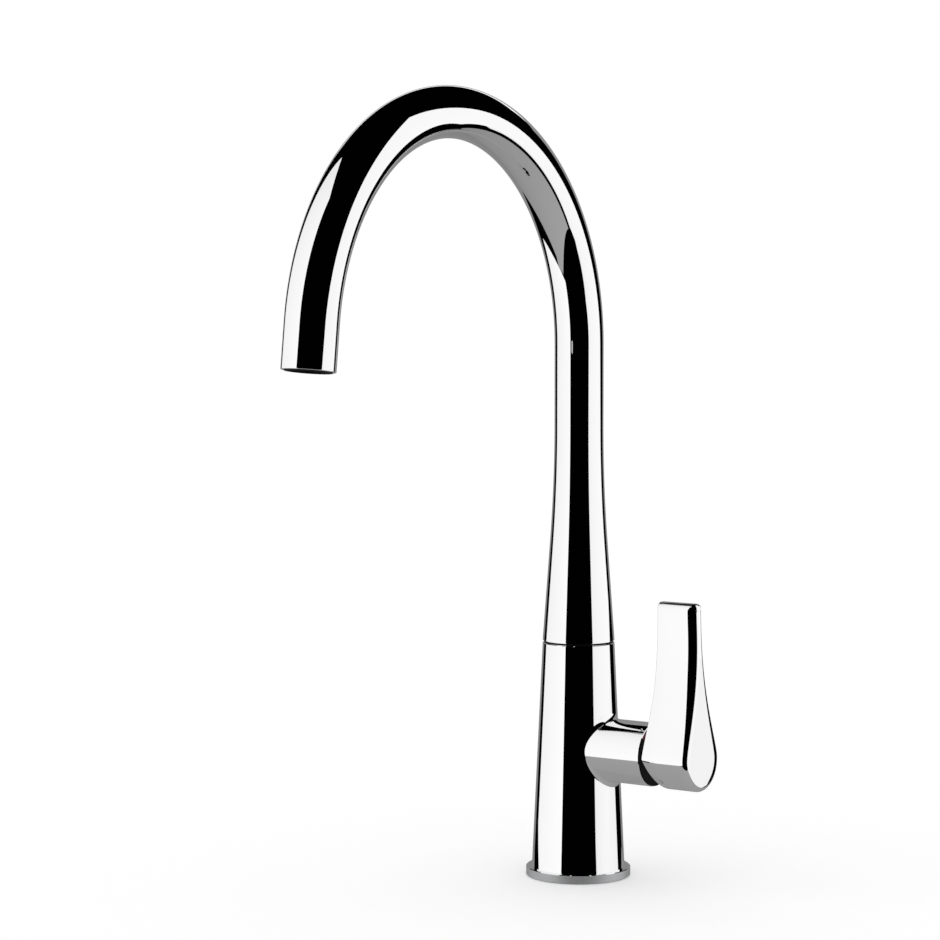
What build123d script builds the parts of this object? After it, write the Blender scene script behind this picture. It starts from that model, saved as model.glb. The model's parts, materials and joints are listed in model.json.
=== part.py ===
import os
from math import asin, cos, degrees, pi, radians, sin

from build123d import *

# A single-lever kitchen tap with a separate way for filtered water. Sizes are in millimetres.
# The origin is the centre of the base on the worktop. Z is up, the outlet is towards -Y and the
# lever is towards +X. Every piece is drawn where it sits with the tap closed.

# Clearances
running = 0.05  # radial gap round whatever turns
sliding_gap = 0.03  # gap between flat faces that slide on each other
drop_in = 0.1  # radial gap round pieces that are only dropped in
ball_gap = 0.1  # radial gap of the spindle's ball in its socket
end_gap = 1.0  # free space under the spigot

# Base ring and its two gaskets
base_radius = 26.0
base_height = 4.4
base_edge = 0.3
base_seal_width = 3.0
base_seal_height = 1.8
body_seal_width = 2.0
body_seal_height = 1.2
seal_inset = 1.6  # from the ring's bore to the nearer gasket

# Body: a cone on a boss that stands in the base ring
boss_radius = 15.5
boss_clear = 0.5  # underside of the boss above the worktop
foot_radius = 23.1
top_radius = 17.85
seam_edge = 0.35
barrel_radius = 15.57
barrel_height = 64.1  # of the barrel's axis above the worktop
barrel_fillet = 3.0
web = 10.3  # metal between the cartridge pocket and the spigot's socket

# Waterways
inlet_radius = 4.5  # tapping size of an M10 x 1 thread
inlet_depth = 12.0
inlet_x = 0.5  # of the hot and cold inlets
inlet_y = 5.9  # to each side of the middle
inlet_wall = 1.5
channel_radius = 2.5
port_radius = 1.5
port_pitch = 4.8  # from the cartridge's centre port to each of the four round it
mixed_x = -8.5  # of the rising way for mixed water
seat_depth = 8.0  # of the filtered tube's seat

# Spout
socket_radius = 13.0
socket_depth = 29.65
seam = 0.8  # height of the seam between body and spout
slide_ring_inset = 0.65
spigot_bore = 9.0
spigot_head_radius = 13.6
spigot_head_height = 15.5
tube_radius = 12.1
tube_wall = 1.3
taper_length = 50.9  # straight part of the flare
blend_length = 56.6  # arc from the taper to the tube
bore_taper = 60.0
riser_length = 146.95  # from the spout's foot to the start of the bend
bend_radius = 108.4
bend_degrees = 173.0
outlet_length = 21.2
rim_edge = 0.4

# Seals, bearing and stop of the swivel
cord = 2.2  # thickness of the O-rings
lower_slide_height = 3.0
lower_slide_depth = 1.35
land = 1.5  # metal between neighbouring grooves
stop_radius = 2.5  # M5
dog_radius = 1.8
dog_reach = 1.8  # into the spigot
stop_sink = 1.2  # below the body's surface
swivel_degrees = 75.0  # to each side

# Filtered tube and outlet fittings, measured from the outlet's rim
filter_radius = 3.0
filter_bore = 2.0
tube_cord = 1.6
bush_recess = 1.0
bush_thread_length = 10.0
bush_lip = 2.0
lip_radius = 8.4
thread_radius = 10.0
aerator_recess = 1.5
aerator_wall = 1.3
aerator_lip = 0.8
washer_height = 1.5
insert_height = 3.5
nozzle_radius = 2.4
nozzle_bore = 1.2
nozzle_flange = 1.5
nozzle_spigot = 7.0
jet_radius = 0.65

# Cartridge, stacked along the barrel from the pocket's floor
pocket_floor = 15.9  # from the body's axis
cartridge_radius = 12.5
cartridge_wall = 1.3
plate_height = 4.0
port_seal_width = 0.7
port_seal_height = 1.4
peg_radius = 1.4
peg_length = 2.5
disc_height = 3.5
driver_height = 7.0
chamber_depth = 1.75
chamber_half = 1.2  # half the width of the moving disc's slot
flange_height = 2.5
shoulder_height = 2.0
neck_radius = 7.85
nut_height = 4.4
nut_thread_radius = 14.0
nut_bore = 9.5
nut_slot = 2.5
ring_sleeve = 1.1  # of the index ring, inside the barrel
ring_flange = 1.0  # of the index ring, outside the barrel
ring_radius = 15.3
ring_bore = 8.4
mark_width = 4.0
mark_depth = 2.2
mark_degrees = 45.0

# Spindle and lever
tilt_degrees = 25.0
pivot_inset = 2.5  # of the spindle's pin behind the barrel's end
neck_reach = 0.6  # of the turning guide beyond the barrel's end
pin_radius = 1.25
ball_radius = 2.45
ball_inset = 3.5  # below the driver's face
arm_radius = 1.2
stem_width = 7.0
stem_length = 16.5  # from the pin to the stem's end
lever_gap = 0.8  # between the index ring and the lever
hub_radius = 15.8
hub_length = 25.5
lever_rise = 75.7  # of the lever's top above the barrel's axis
blade_half = 4.0
blade_setback = 1.8
blade_lean = 2.0  # degrees that the lever's end face leans in
waist_rise = 62.0  # where the blade's sides become parallel
hub_pull = 7.0  # length of the side curve's handle at the hub
waist_pull = 32.3  # and at the blade
relief_degrees = 32.0
lever_edge = 3.0
blade_corner = 3.2
blade_crown = 2.0  # rounding of the blade's top towards the body
lever_screw_radius = 2.5
lever_screw_length = 7.5
lever_screw_x = 8.0  # from the lever's inner face
plug_radius = 3.1
plug_height = 2.4

# Clamp under the worktop
stud_radius = 4.0
stud_wall = 1.1
stud_engagement = 13.0
stud_length = 83.0
worktop = 30.0  # thickness that the clamp is set to
clamp_radius = 25.0
clamp_slot = 13.0  # half width
clamp_web = 1.0  # between slot and stud
clamp_corner = 6.0
gasket_height = 3.0
plate_thickness = 2.5
nut_flats = 13.0
nut_length = 25.0

# Heights on the body's axis
boss_bottom = boss_clear
socket_floor = barrel_height + cartridge_radius + drop_in + web
body_top = socket_floor + socket_depth
spout_foot = body_top + seam
bend_start = spout_foot + riser_length
spigot_foot = socket_floor + end_gap
spigot_radius = socket_radius - running
seat_floor = socket_floor - seat_depth
base_bore = boss_radius + drop_in
stud_x = boss_radius - stud_radius - stud_wall
filter_inlet_x = inlet_radius + inlet_wall - boss_radius

# Grooves of the spigot, from its foot up
lower_slide = spigot_foot + land
lower_o_ring = lower_slide + lower_slide_height + land + cord / 2
upper_o_ring = body_top - 2 * land - cord
stop_height = (lower_o_ring + upper_o_ring) / 2
stop_groove_radius = spigot_radius - dog_reach - 2 * running

# Stations along the barrel
pocket_radius = cartridge_radius + drop_in
fixed_disc_x = pocket_floor + plate_height
moving_disc_x = fixed_disc_x + disc_height + sliding_gap
driver_x = moving_disc_x + disc_height
guide_x = driver_x + driver_height + sliding_gap
shoulder_x = guide_x + flange_height + running
housing_end = shoulder_x + shoulder_height
nut_end = housing_end + nut_height
barrel_end = nut_end + ring_sleeve
pivot_x = barrel_end - pivot_inset
ball_x = driver_x + driver_height - ball_inset
disc_travel = (pivot_x - ball_x) * sin(radians(tilt_degrees))
cavity_radius = cartridge_radius - cartridge_wall
disc_radius = cavity_radius - disc_travel / 2 - 2 * running
lever_x = barrel_end + ring_flange + lever_gap
stem_end = pivot_x + stem_length

# Heights in the outlet, from its rim
tube_bore = tube_radius - tube_wall
thread_top = bush_recess + bush_thread_length
washer_foot = thread_top - washer_height
insert_foot = aerator_recess + aerator_lip
flange_foot = insert_foot + insert_height
flange_top = flange_foot + nozzle_flange

# Working planes
barrel = Plane(origin=(0, 0, barrel_height), x_dir=(0, 1, 0), z_dir=(1, 0, 0))
side = Plane(origin=(0, 0, barrel_height), x_dir=(1, 0, 0), z_dir=(0, -1, 0))
bend_axis = Axis((0, -bend_radius, bend_start), (1, 0, 0))
bend_end = Vector(
    0,
    -bend_radius + bend_radius * cos(radians(bend_degrees)),
    bend_start + bend_radius * sin(radians(bend_degrees)),
)
outflow = Vector(0, -sin(radians(bend_degrees)), cos(radians(bend_degrees)))
outlet = Plane(origin=bend_end + outflow * outlet_length, x_dir=(1, 0, 0), z_dir=outflow * -1)


def rod(plane, radius, low, high, at=(0, 0)):
    """A round bar between two heights over a plane."""
    return extrude(plane.offset(low) * Pos(*at) * Circle(radius), amount=high - low)


def ring(plane, outer, inner, low, high, at=(0, 0)):
    """A washer or sleeve between two heights over a plane."""
    section = Circle(outer) - Circle(inner)
    return extrude(plane.offset(low) * Pos(*at) * section, amount=high - low)


def o_ring(height, inner, outer, degrees_round=360):
    """An O-ring round the body's axis that fills the gap between two radii."""
    section = Plane.XZ * Pos((inner + outer) / 2, height) * Circle((outer - inner) / 2)
    return revolve(section, Axis.Z, degrees_round)


def turned(points):
    """A piece turned round the body's axis from a closed outline of (radius, height) points."""
    return revolve(Plane.XZ * make_face(Polyline(*points, close=True)), Axis.Z)


def body_surface(height):
    """The cone's radius at a height."""
    share = (height - base_height) / (body_top - base_height)
    return foot_radius + share * (top_radius - foot_radius)


def port_places():
    """Centres of the cartridge's ports across the barrel: mixed, filtered in and out, hot, cold."""
    return [(0, 0), (0, -port_pitch), (0, port_pitch), (-port_pitch, 0), (port_pitch, 0)]


def peg_places():
    """Centres of the two pegs that keep the cartridge from turning."""
    off = (cartridge_radius - 2 * peg_radius) * cos(pi / 4)
    return [(off, off), (-off, -off)]


# Base


def make_base_ring():
    ring_body = ring(Plane.XY, base_radius, base_bore, 0, base_height)
    rims = ring_body.edges().filter_by(GeomType.CIRCLE).sort_by(SortBy.RADIUS)[-2:]
    return chamfer(rims, base_edge) - make_base_seal() - make_body_seal()


def make_base_seal():
    inner = base_bore + seal_inset + body_seal_width / 2
    return ring(Plane.XY, inner + base_seal_width, inner, 0, base_seal_height)


def make_body_seal():
    inner = base_bore + seal_inset
    low = base_height - body_seal_height
    return ring(Plane.XY, inner + body_seal_width, inner, low, base_height)


# Body


def make_body():
    cone = turned(
        [
            (0, boss_bottom),
            (boss_radius, boss_bottom),
            (boss_radius, base_height),
            (foot_radius, base_height),
            (top_radius, body_top - seam_edge),
            (top_radius - seam_edge, body_top),
            (0, body_top),
        ]
    )
    casting = cone + rod(barrel, barrel_radius, 0, barrel_end)
    joint = casting.edges().filter_by(lambda e: e.geom_type not in (GeomType.CIRCLE, GeomType.LINE))
    casting = fillet(joint, barrel_fillet)
    rim = casting.edges().filter_by(GeomType.CIRCLE).sort_by(Axis.X)[-1]
    casting = chamfer(rim, base_edge)
    return casting - cartridge_pocket() - spigot_socket() - waterways() - stud_hole() - stop_hole()


def cartridge_pocket():
    pocket = rod(barrel, pocket_radius, pocket_floor, housing_end)
    pocket += rod(barrel, nut_thread_radius, housing_end, barrel_end)
    for place in peg_places():
        pocket += rod(barrel, peg_radius, pocket_floor - peg_length, pocket_floor, place)
    return pocket


def spigot_socket():
    seat = rod(Plane.XY, filter_radius + running, seat_floor, socket_floor)
    groove = seat_floor + seat_depth / 2
    seat += rod(Plane.XY, tube_groove_radius(), groove - tube_cord / 2, groove + tube_cord / 2)
    return seat + rod(Plane.XY, socket_radius, socket_floor, body_top)


def tube_groove_radius():
    return filter_radius + running + tube_cord


def inlet_places():
    """Hot, cold and filtered inlets on the underside."""
    return [(inlet_x, -inlet_y), (inlet_x, inlet_y), (filter_inlet_x, 0)]


def waterways():
    ways = Part()
    tops = [barrel_height, barrel_height, barrel_height - port_pitch]
    for place, top in zip(inlet_places(), tops):
        ways += rod(Plane.XY, inlet_radius, boss_bottom, boss_bottom + inlet_depth, place)
        ways += rod(Plane.XY, channel_radius, boss_bottom, top + port_radius, place)
    ends = [mixed_x, filter_inlet_x, -port_radius, inlet_x, inlet_x]
    for place, end in zip(port_places(), ends):
        ways += rod(barrel, port_radius, end, pocket_floor, place)
    ways += rod(Plane.XY, channel_radius, barrel_height - port_radius, socket_floor, (mixed_x, 0))
    return ways + rod(Plane.XY, port_radius, barrel_height + port_pitch, seat_floor)


def stud_hole():
    return rod(Plane.XY, stud_radius, boss_bottom, boss_bottom + stud_engagement, (stud_x, 0))


def stop_plane():
    """Looks out through the back of the body at the height of the swivel's stop."""
    return Plane(origin=(0, 0, stop_height), x_dir=(1, 0, 0), z_dir=(0, 1, 0))


def stop_hole():
    return rod(stop_plane(), stop_radius, socket_radius - 1, foot_radius)


def make_stop_screw():
    head = body_surface(stop_height) - stop_sink
    screw = rod(stop_plane(), stop_radius, socket_radius + 2 * running, head)
    return screw + rod(stop_plane(), dog_radius, socket_radius - dog_reach, socket_radius + 1)


def make_tube_o_ring():
    height = seat_floor + seat_depth / 2
    return o_ring(height, filter_radius + running, tube_groove_radius())


# Swivel


def make_upper_slide_ring():
    height = body_top + seam - sliding_gap
    return ring(Plane.XY, top_radius - slide_ring_inset, socket_radius, body_top, height)


def make_lower_slide_ring():
    inner = spigot_radius - lower_slide_depth
    return ring(Plane.XY, spigot_radius, inner, lower_slide, lower_slide + lower_slide_height)


def make_spigot():
    spigot = ring(Plane.XY, spigot_radius, spigot_bore, spigot_foot, spout_foot)
    spigot += ring(Plane.XY, spigot_head_radius, spigot_bore, spout_foot, spout_foot + spigot_head_height)
    for height in (lower_o_ring, upper_o_ring):
        low = height - cord / 2
        spigot -= ring(Plane.XY, spigot_radius + 1, spigot_radius - cord, low, low + cord)
    return spigot - make_lower_slide_ring() - stop_groove()


def stop_groove():
    """A groove that ends where the stop screw's dog should meet it."""
    dog_share = degrees(asin((dog_radius + running) / stop_groove_radius))
    half = swivel_degrees + dog_share
    height = 2 * (dog_radius + running)
    width = spigot_radius + 1 - stop_groove_radius
    section = Plane.XZ * Pos(stop_groove_radius + width / 2, stop_height) * Rectangle(width, height)
    return Rot(0, 0, 90 - half) * revolve(section, Axis.Z, 2 * half)


def make_spout_o_rings():
    inner = spigot_radius - cord
    return [o_ring(height, inner, spigot_radius) for height in (lower_o_ring, upper_o_ring)]


# Spout


def bent_rod(radius, outlet_end=0):
    """The bend and the straight end of a round bar along the spout's centre line."""
    start = Plane.XY.offset(bend_start) * Circle(radius)
    return revolve(start, bend_axis, bend_degrees) + rod(outlet, radius, outlet_end, outlet_length)


def flare():
    """The riser: a straight taper, an arc that runs smoothly into the tube, and the tube."""
    drop = top_radius - tube_radius
    taper_end = tube_radius + drop * blend_length / (2 * taper_length + blend_length)
    blend_start = spout_foot + taper_length
    tube_start = blend_start + blend_length
    foot = Polyline(
        (0, bend_start),
        (0, spout_foot),
        (top_radius - seam_edge, spout_foot),
        (top_radius, spout_foot + seam_edge),
        (taper_end, blend_start),
    )
    blend = TangentArc(
        (tube_radius, tube_start), (taper_end, blend_start), tangent=(0, -1)
    )
    top = Polyline((tube_radius, tube_start), (tube_radius, bend_start), (0, bend_start))
    return revolve(Plane.XZ * make_face([foot, blend, top]), Axis.Z)


def riser_bore():
    head_top = spout_foot + spigot_head_height
    return turned(
        [
            (0, spout_foot),
            (spigot_head_radius, spout_foot),
            (spigot_head_radius, head_top),
            (tube_bore, head_top + bore_taper),
            (tube_bore, bend_start),
            (0, bend_start),
        ]
    )


def make_spout():
    outside = flare() + bent_rod(tube_radius)
    rim = outside.edges().filter_by(GeomType.CIRCLE).sort_by_distance(outlet.origin)[0]
    return fillet(rim, rim_edge) - riser_bore() - bent_rod(tube_bore)


def make_filtered_tube():
    tube = rod(Plane.XY, filter_radius, seat_floor + end_gap, bend_start)
    bore = rod(Plane.XY, filter_bore, seat_floor + end_gap, bend_start)
    return tube + bent_rod(filter_radius, flange_top) - bore - bent_rod(filter_bore, flange_top)


# Outlet


def make_outlet_bush():
    lip_top = thread_top + bush_lip
    bush = ring(outlet, tube_bore, thread_radius, bush_recess, thread_top)
    return bush + ring(outlet, tube_bore, lip_radius, thread_top, lip_top)


def make_aerator_washer():
    return ring(outlet, thread_radius, lip_radius, washer_foot, thread_top)


def make_aerator_housing():
    inner = thread_radius - aerator_wall
    housing = ring(outlet, thread_radius, inner, aerator_recess, washer_foot)
    return housing + ring(outlet, inner, inner - aerator_lip, aerator_recess, insert_foot)


def jets(count, radius, size, low, high):
    """A ring of round holes through a plate in the outlet."""
    holes = Part()
    for i in range(count):
        angle = 2 * pi * i / count
        holes += rod(outlet, size, low, high, (radius * cos(angle), radius * sin(angle)))
    return holes


def make_aerator_insert():
    outer = thread_radius - aerator_wall
    plate = ring(outlet, outer, nozzle_radius, insert_foot, flange_foot)
    for count, share in ((18, 0.75), (12, 0.35)):
        radius = nozzle_radius + share * (outer - nozzle_radius)
        plate -= jets(count, radius, jet_radius, insert_foot, flange_foot)
    return plate


def make_filter_nozzle():
    outer = thread_radius - aerator_wall
    window = (outer - nozzle_radius) / 4
    nozzle = rod(outlet, nozzle_radius, aerator_recess, flange_foot)
    nozzle += rod(outlet, outer, flange_foot, flange_top)
    nozzle += rod(outlet, filter_bore, flange_top, flange_top + nozzle_spigot)
    nozzle -= jets(6, (outer + nozzle_radius) / 2, window, flange_foot, flange_top)
    return nozzle - rod(outlet, nozzle_bore, aerator_recess, flange_top + nozzle_spigot)


# Cartridge


def port_holes(low, high):
    return [rod(barrel, port_radius, low, high, place) for place in port_places()]


def make_cartridge_base():
    plate = rod(barrel, cartridge_radius, pocket_floor, fixed_disc_x) - port_holes(pocket_floor, fixed_disc_x)
    for place in peg_places():
        plate += rod(barrel, peg_radius, pocket_floor - peg_length, pocket_floor, place)
    return plate - make_cartridge_seals()


def make_cartridge_seals():
    top = pocket_floor + port_seal_height
    outer = port_radius + port_seal_width
    return [ring(barrel, outer, port_radius, pocket_floor, top, place) for place in port_places()]


def make_cartridge_housing():
    housing = ring(barrel, cartridge_radius, cavity_radius, fixed_disc_x, shoulder_x)
    return housing + ring(barrel, cartridge_radius, neck_radius + running, shoulder_x, housing_end)


def make_fixed_disc():
    high = fixed_disc_x + disc_height
    return rod(barrel, cavity_radius, fixed_disc_x, high) - port_holes(fixed_disc_x, high)


def closed_place():
    """Where the moving disc stands with the tap closed, half its travel below the centre."""
    return (0, -disc_travel / 2)


def make_moving_disc():
    """Its slot joins the hot, cold and mixed ports when the disc is up, and none of them when it is down."""
    disc = rod(barrel, disc_radius, moving_disc_x, driver_x, closed_place())
    slot = barrel.offset(moving_disc_x) * Pos(0, -disc_travel) * SlotCenterToCenter(2 * port_pitch, 2 * chamber_half)
    return disc - extrude(slot, amount=chamber_depth)


def make_disc_driver():
    top = driver_x + driver_height
    floor = ball_x - ball_radius - ball_gap
    driver = rod(barrel, disc_radius, driver_x, top, closed_place())
    return driver - rod(barrel, ball_radius + ball_gap, floor, top)


def arm_slot():
    """Room for the spindle's arm as it tilts."""
    half = arm_radius + 4 * running
    rise = disc_travel + half
    low = side * Pos((guide_x + pivot_x) / 2, (rise - half) / 2) * Rectangle(pivot_x - guide_x, rise + half)
    return extrude(low, amount=half, both=True)


def stem_slot():
    """Room for the spindle's stem, which tilts down from its rest against the slot's top."""
    half = stem_width / 2 + running
    length = neck_radius + pivot_inset
    swing = half * sin(radians(tilt_degrees))
    over = side * Pos(pivot_x + length / 2, half / 2) * Rectangle(length, half)
    under = side * Pos(pivot_x + (length - swing) / 2, -length / 2) * Rectangle(length + swing, length)
    knuckle = side * Pos(pivot_x, 0) * Circle(half)
    return extrude(over + under + knuckle, amount=half, both=True)


def make_turning_guide():
    guide = rod(barrel, cavity_radius - running, guide_x, shoulder_x - running)
    guide += rod(barrel, neck_radius, guide_x, barrel_end + neck_reach)
    return guide - arm_slot() - stem_slot() - pin(pin_radius)


def pin(radius):
    """A bar across the barrel on the spindle's pivot."""
    section = side * Pos(pivot_x, 0) * Circle(radius)
    return extrude(section, amount=neck_radius - 2 * running, both=True)


def make_spindle():
    half = stem_width / 2
    across = side * Pos((pivot_x + stem_end) / 2, 0) * Rectangle(stem_length, stem_width)
    spindle = extrude(across + side * Pos(pivot_x, 0) * Circle(half), amount=half, both=True)
    spindle += rod(barrel, arm_radius, ball_x, pivot_x)
    spindle += Pos(ball_x, 0, barrel_height) * Sphere(ball_radius)
    return spindle - pin(pin_radius + running)


def make_cartridge_nut():
    nut = ring(barrel, nut_thread_radius, nut_bore, housing_end, nut_end)
    low = nut_end - nut_height / 3
    for angle in (0, 90):
        slot = barrel.offset(low) * Rot(0, 0, angle) * Rectangle(2 * nut_thread_radius + 2, nut_slot)
        nut -= extrude(slot, amount=nut_height / 3)
    return nut


def mark(angle):
    """A coloured insert in the index ring's rim, turned from the top towards the outlet."""
    high = barrel_end + ring_flange
    block = Rot(0, 0, angle) * Pos(0, ring_radius - mark_depth / 2) * Rectangle(mark_width, mark_depth + 1)
    place = extrude(barrel.offset(barrel_end) * block, amount=ring_flange)
    return place & rod(barrel, ring_radius, barrel_end, high)


def make_index_ring():
    high = barrel_end + ring_flange
    index_ring = ring(barrel, nut_thread_radius, nut_bore, nut_end, barrel_end)
    index_ring += ring(barrel, ring_radius, ring_bore, barrel_end, high)
    return index_ring - mark(mark_degrees) - mark(-mark_degrees)


# Lever


def lever_face():
    """The lever seen from its end: a round hub drawn up into a narrow blade."""
    sides = []
    for way in (1, -1):
        sides.append(
            Bezier(
                (way * hub_radius, 0),
                (way * hub_radius, hub_pull),
                (way * blade_half, waist_rise - waist_pull),
                (way * blade_half, waist_rise),
            )
        )
    hub = ThreePointArc((hub_radius, 0), (0, -hub_radius), (-hub_radius, 0))
    blade = Polyline(
        (blade_half, waist_rise), (blade_half, lever_rise), (-blade_half, lever_rise), (-blade_half, waist_rise)
    )
    outline = make_face([hub, *sides, blade])
    top = outline.vertices().sort_by(Axis.Y)[-2:]
    return fillet(top, blade_corner)


def lever_profile():
    """The lever seen from the side: undercut at the hub, leaning in towards the top."""
    undercut = (hub_radius + 1) * sin(radians(relief_degrees)) / cos(radians(relief_degrees))
    lean = sin(radians(blade_lean)) / cos(radians(blade_lean))
    low, high = -hub_radius - 1, lever_rise
    outer = lever_x + hub_length
    outline = make_face(
        Polyline(
            (lever_x + undercut, low),
            (lever_x, 0),
            (lever_x + blade_setback, hub_radius * 2),
            (lever_x + blade_setback, high),
            (outer - lean * high, high),
            (outer - lean * low, low),
            close=True,
        )
    )
    top = outline.vertices().sort_by(Axis.Y)[-2:]
    return fillet(top.sort_by(Axis.X)[0], blade_crown)


def lever_blank():
    reach = lever_x + hub_length + hub_radius
    blank = extrude(barrel * lever_face(), amount=reach)
    blank &= extrude(side * lever_profile(), amount=hub_radius + 1, both=True)
    end_face = blank.faces().sort_by(Axis.X)[-1]
    return fillet(end_face.edges(), lever_edge)


def screw_plane():
    """Looks out through the back of the hub on the lever screw's axis."""
    return Plane(origin=(lever_x + lever_screw_x, 0, barrel_height), x_dir=(1, 0, 0), z_dir=(0, 1, 0))


def plug_hole():
    return rod(screw_plane(), plug_radius, hub_radius - plug_height, hub_radius + 1)


def make_lever(blank):
    half = stem_width / 2
    socket = extrude(
        side * Pos((lever_x + stem_end) / 2, 0) * Rectangle(stem_end - lever_x + 1, stem_width), amount=half, both=True
    )
    screw_hole = rod(screw_plane(), lever_screw_radius, half, hub_radius)
    return blank - socket - screw_hole - plug_hole()


def make_lever_screw():
    half = stem_width / 2
    return rod(screw_plane(), lever_screw_radius, half, half + lever_screw_length)


def make_lever_plug(blank):
    return blank & plug_hole()


# Clamp under the worktop


def clamp_outline():
    disc = Circle(clamp_radius) - Pos(stud_x, 0) * Circle(stud_radius)
    end = stud_x - stud_radius - clamp_web
    length = clamp_radius + end
    slot = Pos(end - length / 2, 0) * Rectangle(length, 2 * clamp_slot)
    corners = slot.vertices().sort_by(Axis.X)[-2:]
    return disc - fillet(corners, clamp_corner)


def make_clamp(low, height):
    return extrude(Plane.XY.offset(low) * clamp_outline(), amount=height)


def make_stud():
    top = boss_bottom + stud_engagement
    return rod(Plane.XY, stud_radius, top - stud_length, top, (stud_x, 0))


def make_stud_nut():
    high = -worktop - gasket_height - plate_thickness
    outline = RegularPolygon(nut_flats / 2, 6, major_radius=False) - Circle(stud_radius)
    return extrude(Plane.XY.offset(high - nut_length) * Pos(stud_x, 0) * outline, amount=nut_length)


def make_all():
    blank = lever_blank()
    return {
        "base_ring": make_base_ring(),
        "base_seal": make_base_seal(),
        "body_seal": make_body_seal(),
        "body": make_body(),
        "spout_stop_screw": make_stop_screw(),
        "tube_o_ring": make_tube_o_ring(),
        "upper_slide_ring": make_upper_slide_ring(),
        "lower_slide_ring": make_lower_slide_ring(),
        "swivel_spigot": make_spigot(),
        "spout_o_rings": make_spout_o_rings(),
        "spout": make_spout(),
        "filtered_tube": make_filtered_tube(),
        "outlet_bush": make_outlet_bush(),
        "aerator_washer": make_aerator_washer(),
        "aerator_housing": make_aerator_housing(),
        "aerator_insert": make_aerator_insert(),
        "filter_nozzle": make_filter_nozzle(),
        "cartridge_base": make_cartridge_base(),
        "cartridge_seals": make_cartridge_seals(),
        "cartridge_housing": make_cartridge_housing(),
        "fixed_disc": make_fixed_disc(),
        "moving_disc": make_moving_disc(),
        "disc_driver": make_disc_driver(),
        "turning_guide": make_turning_guide(),
        "spindle_pin": pin(pin_radius),
        "spindle": make_spindle(),
        "cartridge_nut": make_cartridge_nut(),
        "index_ring": make_index_ring(),
        "hot_mark": mark(mark_degrees),
        "cold_mark": mark(-mark_degrees),
        "lever": make_lever(blank),
        "lever_grub_screw": make_lever_screw(),
        "lever_plug": make_lever_plug(blank),
        "mounting_stud": make_stud(),
        "horseshoe_gasket": make_clamp(-worktop - gasket_height, gasket_height),
        "horseshoe_plate": make_clamp(-worktop - gasket_height - plate_thickness, plate_thickness),
        "stud_nut": make_stud_nut(),
    }


os.makedirs("parts", exist_ok=True)
for name, piece in make_all().items():
    if isinstance(piece, list):
        piece = Compound(children=piece)
    export_step(piece, f"parts/{name}.step")
print("disc travel", round(disc_travel, 3), "pivot x", pivot_x, "axis height", barrel_height)
print("outlet", outlet.origin, "body top", body_top, "bend start", bend_start)
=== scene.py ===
import json
import bpy
import bmesh
from math import asin, atan2, cos, hypot, pi, radians, sin, sqrt, tan
from mathutils import Matrix, Vector


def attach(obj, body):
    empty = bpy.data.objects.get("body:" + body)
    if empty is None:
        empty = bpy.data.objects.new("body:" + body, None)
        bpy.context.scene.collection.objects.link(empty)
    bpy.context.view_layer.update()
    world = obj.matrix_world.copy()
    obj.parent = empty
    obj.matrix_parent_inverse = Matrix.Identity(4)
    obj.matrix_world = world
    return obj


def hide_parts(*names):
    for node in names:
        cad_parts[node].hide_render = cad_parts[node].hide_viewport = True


# A single-lever kitchen tap with a way of its own for filtered water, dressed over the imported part.
# Pieces are modelled in millimetres, where the part has them, and finishPiece makes them metres.

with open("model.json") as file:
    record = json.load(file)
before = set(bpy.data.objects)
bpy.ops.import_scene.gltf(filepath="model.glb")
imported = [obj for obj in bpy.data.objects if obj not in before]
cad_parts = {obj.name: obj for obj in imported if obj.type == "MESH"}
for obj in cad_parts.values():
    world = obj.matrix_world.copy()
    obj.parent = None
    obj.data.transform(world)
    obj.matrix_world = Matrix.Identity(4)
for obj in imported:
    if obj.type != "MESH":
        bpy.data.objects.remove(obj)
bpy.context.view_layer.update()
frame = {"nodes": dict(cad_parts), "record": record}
nodes = frame["nodes"]
mm = 0.001
mergeDistance = 0.0005  # mm, within which two points of a piece are one
onPlane = 0.001  # mm, within which a point is at a height
trueWithin = 12  # degrees from a face's own normal, past which it keeps that and not the true one
print("frame:", len(nodes), "nodes")


def linearColour(code):  # sRGB hex to the linear colour that sockets take
    shades = [int(code[i:i + 2], 16) / 255 for i in (0, 2, 4)]
    return [s / 12.92 if s <= 0.04045 else ((s + 0.055) / 1.055) ** 2.4 for s in shades] + [1.0]


def addNode(tree, kind, inputs=(), **settings):
    node = tree.nodes.new(kind)
    for name, value in settings.items():
        setattr(node, name, value)
    for socket, value in dict(inputs).items():
        if isinstance(value, bpy.types.NodeSocket):
            tree.links.new(value, node.inputs[socket])
        else:
            node.inputs[socket].default_value = value
    return node


def newMaterial(name):
    material = bpy.data.materials.new(name)
    material.use_nodes = True
    tree = material.node_tree
    tree.nodes.clear()
    return material, tree


# Polished chrome plate: nickel-chrome on buffed brass. It mirrors the studio almost whole, with only a
# breath of wiping haze that the eye finds at the edges of the reflections.
chrome = {
    "tint": "F4F4F4",
    "haze": "F0F0F0",
    "roughness": (0.008, 0.02),
    "hazeSize": 38.0,  # mm
    "hazeRange": (0.3, 0.7),  # where the noise mostly lies
}


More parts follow.
